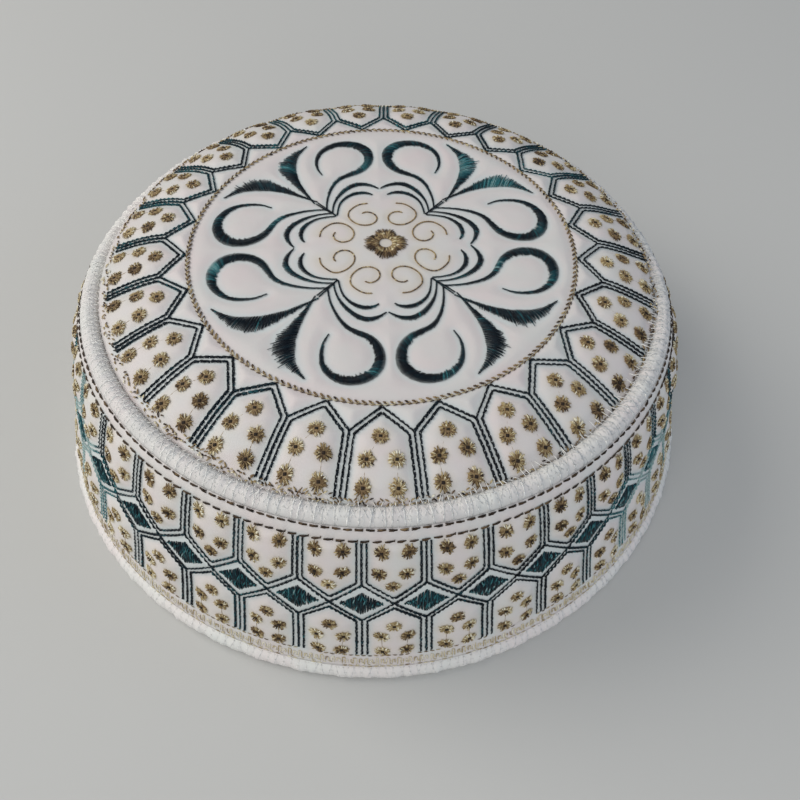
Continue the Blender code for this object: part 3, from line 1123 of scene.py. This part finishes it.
def foot_threads(stitch):
    """The narrow worked band over the hem: a small square meander between two fine broken lines."""
    work = Embroidery()
    for height, share, tone in ((9.9, 0.75, 0.46), (5.7, 0.80, 0.72)):
        angle, step = ring_places(FLAT_RADIUS, 1.5)
        a, b = (angle - 0.5 * share * step) * FLAT_RADIUS, (angle + 0.5 * share * step) * FLAT_RADIUS
        level = height + chance.normal(0.0, 0.10, (2, len(angle)))
        shade = uneven(tone, 0.14, len(angle))
        keep = chance.random(len(angle)) > 0.22
        start, end = pairs(a, level[0])[keep], pairs(b, level[1])[keep]
        work.sew(stitch, band_point, start, end, width=0.26, shade=shade[keep], lift=0.12, rise=0.05)
    count = 4 * int(round(math.tau * FLAT_RADIUS / (4 * 0.66)))
    place = math.tau * FLAT_RADIUS * np.arange(count) / count
    step = math.tau * FLAT_RADIUS / count
    inward = np.arange(count) % 4
    low = np.where(inward < 2, 6.3, 6.9) + chance.normal(0.0, 0.08, count)
    top = np.where(inward < 2, 8.7, 8.2) + chance.normal(0.0, 0.10, count)
    shade = uneven(0.80, 0.14, count)
    place = place + chance.normal(0.0, 0.07, count)
    start, end = pairs(place, low), pairs(place, top)
    work.sew(stitch, band_point, start, end, width=0.32, shade=shade, lift=0.12, rise=0.08)
    over = np.where(inward % 2 == 0, top, low)
    start, end = pairs(place, over), pairs(place + step, over + chance.normal(0.0, 0.06, count))
    keep = chance.random(count) > 0.2
    work.sew(stitch, band_point, start[keep], end[keep], width=0.26, shade=shade[keep], lift=0.13, rise=0.06)
    return work.piece("foot_threads")


# White overcast threads on the edges


def over_edge(work, stitch, skin, pitch, stops, sway, width, lift):
    """Threads that pass over an edge through the given stops, slanting to and fro."""
    angle, step = ring_places(FLAT_RADIUS, pitch)
    here = angle * FLAT_RADIUS + chance.normal(0.0, 0.16 * pitch, len(angle))
    lean = sway * np.where(np.arange(len(angle)) % 2 == 0, 1.0, -1.0) + chance.normal(0.0, 0.45, len(angle))
    # Painted light: the threads are paler on the left, towards the window lamp, and darker on the right.
    shade = uneven(0.6 - 0.42 * np.cos(angle), 0.2, len(angle))
    for index, (first, second) in enumerate(zip(stops, stops[1:])):
        low, high = index / (len(stops) - 1), (index + 1) / (len(stops) - 1)
        start, end = pairs(here + lean * (low - 0.5), first), pairs(here + lean * (high - 0.5), second)
        work.sew(stitch, skin, start, end, width, shade, lift, rise=0.03)


def roll_threads(stitch):
    """White threads over the rim roll: a fine zigzag, bolder bars, and ends that reach on to the crown."""
    work = Embroidery()
    for skin, pitch, stops, sway, width, lift in (
        (roll_point, 1.45, (8.0, 45.0, 90.0, 135.0, 178.0), 1.7, 0.26, 0.05),
        (roll_point, 2.9, (14.0, 50.0, 90.0, 130.0, 178.0), 0.3, 0.48, 0.06),
        (roll_point, 1.1, (60.0, 105.0, 150.0), 2.4, 0.24, 0.14),
        (crown_wall, 1.3, (0.0, 0.5, 1.0), 1.4, 0.26, 0.04),
    ):
        over_edge(work, stitch, skin, pitch, stops, sway, width, lift)
    from_roll = 76.1
    angle, step = ring_places(ROLL_IN, 1.5)
    angle = angle + chance.normal(0.0, 0.2, len(angle)) * step
    right_front = 0.5 + 0.5 * np.cos(angle - math.radians(-40.0))
    reach = chance.uniform(0.8, 1.4, len(angle)) + 1.9 * right_front ** 3 * chance.random(len(angle))
    lean = chance.normal(0.0, 0.5, len(angle)) / ROLL_IN
    a, _ = on_skin(crown_point, crown_plan(in_plan(angle, from_roll)))
    b, up_b = on_skin(crown_point, crown_plan(in_plan(angle + lean, from_roll - reach)))
    a[:, 2] += 1.5 - (1.0 - CROWN_SAG) * droop(angle, 1.0)
    b[:, 2] += 0.3
    shade = uneven(0.8, 0.2, len(angle))
    near_roll = droop(angle, 1.0) < 2.5
    work.lay(stitch, a[near_roll], b[near_roll], up_b[near_roll], 0.22, shade[near_roll], 0.0, 0.25)
    return work.piece("roll_threads")


def hem_threads(stitch):
    """Fine white threads over the hem."""
    work = Embroidery()
    stops = (0.07, 0.25, 0.5, 0.75, 0.97)
    over_edge(work, stitch, hem_point, 0.95, stops, sway=1.3, width=0.24, lift=0.02)
    return work.piece("hem_threads")


# Materials


class Paint:
    """A material's nodes. Values made from it take part in Python sums."""

    def __init__(self, name):
        self.material = bpy.data.materials.new(name)
        self.material.use_nodes = True
        self.tree = self.material.node_tree
        self.shader = self.tree.nodes["Principled BSDF"]

    def node(self, kind, settings=None, inputs=None, output=0):
        """One node: its settings first, then its sockets' values or links. Returns its output."""
        node = self.tree.nodes.new(kind)
        for key, value in (settings or {}).items():
            if key == "stops":
                self.set_stops(node.color_ramp, value)
            else:
                setattr(node, key, value)
        for key, value in (inputs or {}).items():
            self.feed(node.inputs[key], value)
        return Value(self, node.outputs[output])

    def set_stops(self, ramp, stops):
        """Colour stops of a ramp: rows of (place, colour)."""
        while len(ramp.elements) < len(stops):
            ramp.elements.new(1.0)
        for element, (place, colour) in zip(ramp.elements, stops):
            element.position = place
            element.color = (*colour, 1.0)

    def feed(self, socket, value):
        """Link a value to a socket, or set the socket."""
        if isinstance(value, Value):
            self.tree.links.new(value.socket, socket)
        else:
            socket.default_value = value

    def set(self, **inputs):
        """Sockets of the shader, by name with _ for a space."""
        for key, value in inputs.items():
            self.feed(self.shader.inputs[key.replace("_", " ")], value)


class Value:
    """A shader socket with Python's arithmetic."""

    def __init__(self, paint, socket):
        self.paint = paint
        self.socket = socket

    def sum(self, operation, first, second):
        return self.paint.node("ShaderNodeMath", {"operation": operation}, {0: first, 1: second})

    def __add__(self, other):
        return self.sum("ADD", self, other)

    __radd__ = __add__

    def __sub__(self, other):
        return self.sum("SUBTRACT", self, other)

    def __rsub__(self, other):
        return self.sum("SUBTRACT", other, self)

    def __mul__(self, other):
        return self.sum("MULTIPLY", self, other)

    __rmul__ = __mul__


def mixed(paint, share, first, second):
    """A colour between two others."""
    settings = {"data_type": "RGBA", "clamp_factor": True}
    return paint.node("ShaderNodeMix", settings, {0: share, 6: first, 7: second}, 2)


def noise(paint, place, scale, detail):
    """Soft random values over a piece."""
    return paint.node("ShaderNodeTexNoise", inputs={"Vector": place, "Scale": scale, "Detail": detail})


def stored(paint, name):
    """The value that each point of a piece holds under a name."""
    return paint.node("ShaderNodeAttribute", {"attribute_name": name}, output=2)


def white_satin(name, colour, roughness, weave_size, crumple):
    """White cloth with a fine weave, soft crumples, and teal and straw tints near the dark and gold threads.
    """
    paint = Paint(name)
    place = paint.node("ShaderNodeTexCoord", output=3)
    blotch, folds = noise(paint, place, 90.0, 3.0), noise(paint, place, 420.0, 4.0)
    weave = paint.node("ShaderNodeTexVoronoi", {"feature": "F1"},
                       {"Vector": place, "Scale": 1.0 / weave_size})
    rosy, fresh, teal, straw = (
        [part * factor for part, factor in zip(colour, factors)] + [1.0]
        for factors in ((1.03, 0.955, 0.955), (0.98, 1.0, 0.98), (0.92, 1.04, 1.05), (1.0, 0.95, 0.82))
    )
    base = mixed(paint, blotch * 2.4 - 0.7, rosy, fresh)
    base = mixed(paint, stored(paint, "cool") * 0.85, base, teal)
    base = mixed(paint, stored(paint, "warm") * 0.60, base, straw)
    relief = folds * crumple + weave * 0.25
    bump = paint.node("ShaderNodeBump", inputs={"Strength": 0.28, "Distance": 0.0004, "Height": relief})
    paint.set(Base_Color=base, Roughness=roughness + 0.12 * (folds - 0.5), Normal=bump,
              Sheen_Weight=0.15, Sheen_Roughness=0.4, Specular_IOR_Level=0.4)
    return paint.material


def silk_thread(name, stops, roughness, gloss, sheen, shine):
    """Embroidery thread whose colour follows its shade, with a fine twist. gloss smooths the paler ones."""
    paint = Paint(name)
    place = paint.node("ShaderNodeTexCoord", output=3)
    shade = stored(paint, "shade")
    grain, drift = noise(paint, place, 2600.0, 2.0), noise(paint, place, 160.0, 2.0)
    tone = shade + 0.30 * (grain - 0.5) + 0.22 * (drift - 0.5)
    colour = paint.node("ShaderNodeValToRGB", {"stops": stops}, {"Fac": tone})
    bump = paint.node("ShaderNodeBump", inputs={"Strength": 0.3, "Distance": 0.0001, "Height": grain})
    paint.set(Base_Color=colour, Roughness=roughness + 0.1 * grain - gloss * shade, Normal=bump,
              Sheen_Weight=sheen, Sheen_Roughness=0.35, Specular_IOR_Level=shine)
    return paint.material


DARK_STOPS = [
    (0.00, (0.002, 0.004, 0.008)), (0.32, (0.004, 0.014, 0.022)), (0.56, (0.010, 0.070, 0.085)),
    (0.76, (0.040, 0.20, 0.22)), (1.00, (0.38, 0.51, 0.50)),
]
GOLD_STOPS = [
    (0.00, (0.016, 0.009, 0.005)), (0.22, (0.080, 0.046, 0.022)), (0.44, (0.25, 0.165, 0.075)),
    (0.62, (0.43, 0.335, 0.165)), (0.80, (0.70, 0.62, 0.40)), (1.00, (0.90, 0.87, 0.72)),
]
WHITE_STOPS = [(0.0, (0.54, 0.55, 0.55)), (1.0, (0.93, 0.92, 0.88))]


# The cap


DOME = Stitch(7, ((0.0, 0.25), (0.14, 0.72), (0.5, 1.0), (0.86, 0.72), (1.0, 0.25)))


def make_cap():
    """Every piece of the cap, with its material."""
    short = Stitch(4, ((0.0, 0.45), (0.5, 1.0), (1.0, 0.45)))
    line = Stitch(3, ((0.0, 0.48), (0.5, 1.15), (1.0, 0.48)))
    ray = Stitch(3, ((0.0, 0.45), (0.7, 1.0), (1.0, 0.50)))
    dot = Stitch(6, ((0.0, 0.8), (1.0, 0.8)))
    fine = Stitch(3, ((0.0, 0.9), (1.0, 0.9)))

    # The crown, band, roll and hem are one white cloth: the differences between their base colours are
    # painted shade and light, set by how brightly each part is lit, the crown darkest under the strong light
    # from above.
    crown = white_satin("crown_white", (0.63, 0.61, 0.60), roughness=0.52, weave_size=0.00022, crumple=0.8)
    band = white_satin("band_white", (0.69, 0.67, 0.655), roughness=0.52, weave_size=0.00022, crumple=0.8)
    roll = white_satin("roll_white", (0.66, 0.66, 0.645), roughness=0.62, weave_size=0.00030, crumple=1.6)
    hem = white_satin("hem_white", (0.74, 0.74, 0.72), roughness=0.66, weave_size=0.00035, crumple=1.6)
    finish_piece(crown_cloth(), crown, ["crown_top"])
    finish_piece(band_cloth(), band, ["side_band"])
    finish_piece(roll_cloth(), roll, ["rim_roll"])
    finish_piece(hem_cloth(), hem, ["hem_binding"])

    dark = silk_thread("dark_silk", DARK_STOPS, roughness=0.42, gloss=0.0, sheen=0.0, shine=0.22)
    gold = silk_thread("gold_silk", GOLD_STOPS, roughness=0.78, gloss=0.55, sheen=0.0, shine=0.40)
    white = silk_thread("white_cotton", WHITE_STOPS, roughness=0.60, gloss=0.0, sheen=0.15, shine=0.4)
    for piece in (rosette_threads(short), arch_threads(line), cell_threads(line), diamond_threads(line)):
        finish_piece(piece, dark)
    for piece in (
        spiral_threads(short), flower_threads(short), rope_threads(short), border_threads(line),
        crown_eyelets(ray, dot, line), band_eyelets(ray, dot, line), dashed_lines(line), foot_threads(line),
    ):
        finish_piece(piece, gold)
    for piece in (roll_threads(fine), hem_threads(fine)):
        finish_piece(piece, white)


# Camera, floor and light

VIEW_ELEVATION = 53.93
VIEW_ROLL = 2.02
VIEW_DISTANCE = 185.7
LOOK_AT = (7.3, -50.8)


def place_camera():
    """The photograph's view of the cap."""
    e, roll = math.radians(VIEW_ELEVATION), math.radians(VIEW_ROLL)
    back = Vector((0.0, -math.cos(e), math.sin(e)))
    right = Vector((1.0, 0.0, 0.0))
    up = Vector((0.0, math.sin(e), math.cos(e)))
    rolled_right = right * math.cos(roll) + up * math.sin(roll)
    rolled_up = up * math.cos(roll) - right * math.sin(roll)
    lens = bpy.data.cameras.new("camera")
    lens.sensor_width = 36.0
    lens.lens = 36.0
    lens.clip_start = 0.01
    camera = bpy.data.objects.new("camera", lens)
    bpy.context.scene.collection.objects.link(camera)
    turn = Matrix((rolled_right, rolled_up, back)).transposed().to_4x4()
    target = Vector((LOOK_AT[0], LOOK_AT[1], TOP_PLANE)) * MM
    camera.matrix_world = Matrix.Translation(target + back * (VIEW_DISTANCE * MM)) @ turn
    bpy.context.scene.camera = camera


def soft_light(name, place, size, power, colour):
    """A large soft lamp that faces the cap."""
    lamp = bpy.data.lights.new(name, "AREA")
    lamp.size = size
    lamp.energy = power
    lamp.color = colour
    light = bpy.data.objects.new(name, lamp)
    bpy.context.scene.collection.objects.link(light)
    light.location = place
    light.rotation_euler = (Vector((0.0, 0.0, 0.03)) - Vector(place)).to_track_quat("-Z", "Y").to_euler()


def set_stage():
    """A plain pale floor under soft light from the upper left."""
    bpy.ops.object.select_all(action="DESELECT")
    bpy.ops.mesh.primitive_plane_add(size=8.0)
    floor = bpy.context.object
    floor.name = "floor"
    paint = Paint("pale_floor")
    place = paint.node("ShaderNodeTexCoord", output=3)
    mottle = noise(paint, place, 3.0, 2.0)
    paint.set(Base_Color=mixed(paint, mottle, (0.50, 0.50, 0.485, 1.0), (0.56, 0.56, 0.54, 1.0)),
              Roughness=0.7, Specular_IOR_Level=0.2)
    floor.data.materials.append(paint.material)

    world = bpy.data.worlds.new("soft_room")
    world.use_nodes = True
    ground = world.node_tree.nodes["Background"]
    ground.inputs["Color"].default_value = (0.92, 0.95, 1.0, 1.0)
    ground.inputs["Strength"].default_value = 0.38
    bpy.context.scene.world = world
    soft_light("window", (-1.0, 0.25, 0.85), 0.9, 9.8, (1.0, 0.965, 0.91))
    soft_light("room", (-0.25, -1.0, 0.9), 1.2, 6.8, (1.0, 0.99, 0.98))
    soft_light("sky", (1.1, -0.1, 0.5), 0.8, 1.6, (0.42, 0.66, 1.0))
    bpy.context.scene.view_settings.view_transform = "Standard"


place_camera()
make_cap()
set_stage()
